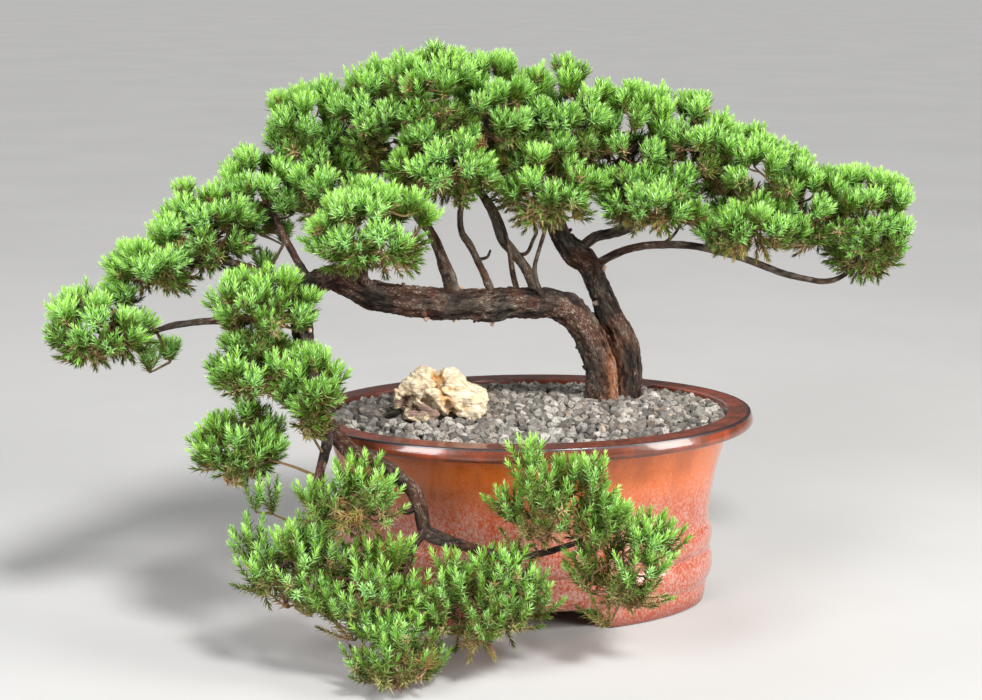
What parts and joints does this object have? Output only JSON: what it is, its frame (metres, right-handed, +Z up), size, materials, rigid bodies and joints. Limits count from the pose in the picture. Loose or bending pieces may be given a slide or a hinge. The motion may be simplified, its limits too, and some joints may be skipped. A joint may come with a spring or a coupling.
{
  "type": "potted juniper bonsai",
  "caption": "Windswept juniper bonsai with an arched twin trunk and a falling limb, in an oval glazed pot with grit and a small layered stone.",
  "frame": {"origin": "on the surface the pot stands on, under the middle of the whole plant's box", "axes": "+Z up, +X along the pot's long side to the tree's right, +Y to its back"},
  "size_m": [0.5782, 0.2934, 0.383],
  "materials": {
    "glaze": "glossy mottled copper red glaze",
    "soil": "damp granular",
    "gravel": "dry crushed grit",
    "rock": "rough layered",
    "plastic_mesh": "moulded",
    "clip_wire": "drawn",
    "bark": "flaking bark",
    "needles": "living needles"
  },
  "bodies": {
    "root": {"pot": "glaze", "soil": "soil", "gravel": "gravel", "accent_stone": "rock", "drain_screen_left": "plastic_mesh", "drain_screen_right": "plastic_mesh", "screen_clip_left": "clip_wire", "screen_clip_right": "clip_wire", "trunk": "bark", "low_right_branch": "bark", "high_right_branch": "bark", "crown_right_branch": "bark", "back_crown_branch": "bark", "first_stem": "bark", "second_stem": "bark", "third_stem": "bark", "fourth_stem": "bark", "fifth_stem": "bark", "back_left_branch": "bark", "left_branch": "bark", "left_low_branch": "bark", "left_crown_branch": "bark", "front_branch": "bark", "cascade_branch": "bark", "cascade_drop": "bark", "cascade_fork": "bark", "foliage_left_tip": "needles", "foliage_left_outer": "needles", "foliage_left_middle": "needles", "foliage_left_crown": "needles", "foliage_left_shoulder": "needles", "foliage_middle_shoulder": "needles", "foliage_low_shoulder": "needles", "foliage_front": "needles", "foliage_apex_left": "needles", "foliage_apex_low": "needles", "foliage_apex_middle": "needles", "foliage_apex_right": "needles", "foliage_heart": "needles", "foliage_back_left": "needles", "foliage_back_right": "needles", "foliage_right_inner": "needles", "foliage_right_middle": "needles", "foliage_right_low": "needles", "foliage_right_outer": "needles", "foliage_right_under": "needles", "foliage_right_arm": "needles", "foliage_right_tip": "needles", "foliage_cascade_top": "needles", "foliage_cascade_middle": "needles", "foliage_cascade_inner": "needles", "foliage_cascade_low": "needles", "foliage_drop_upper": "needles", "foliage_drop_lower": "needles", "foliage_skirt_left": "needles", "foliage_skirt_tip": "needles", "foliage_skirt_middle": "needles", "foliage_spray_top": "needles", "foliage_spray_right": "needles"}
  },
  "joints": []
}
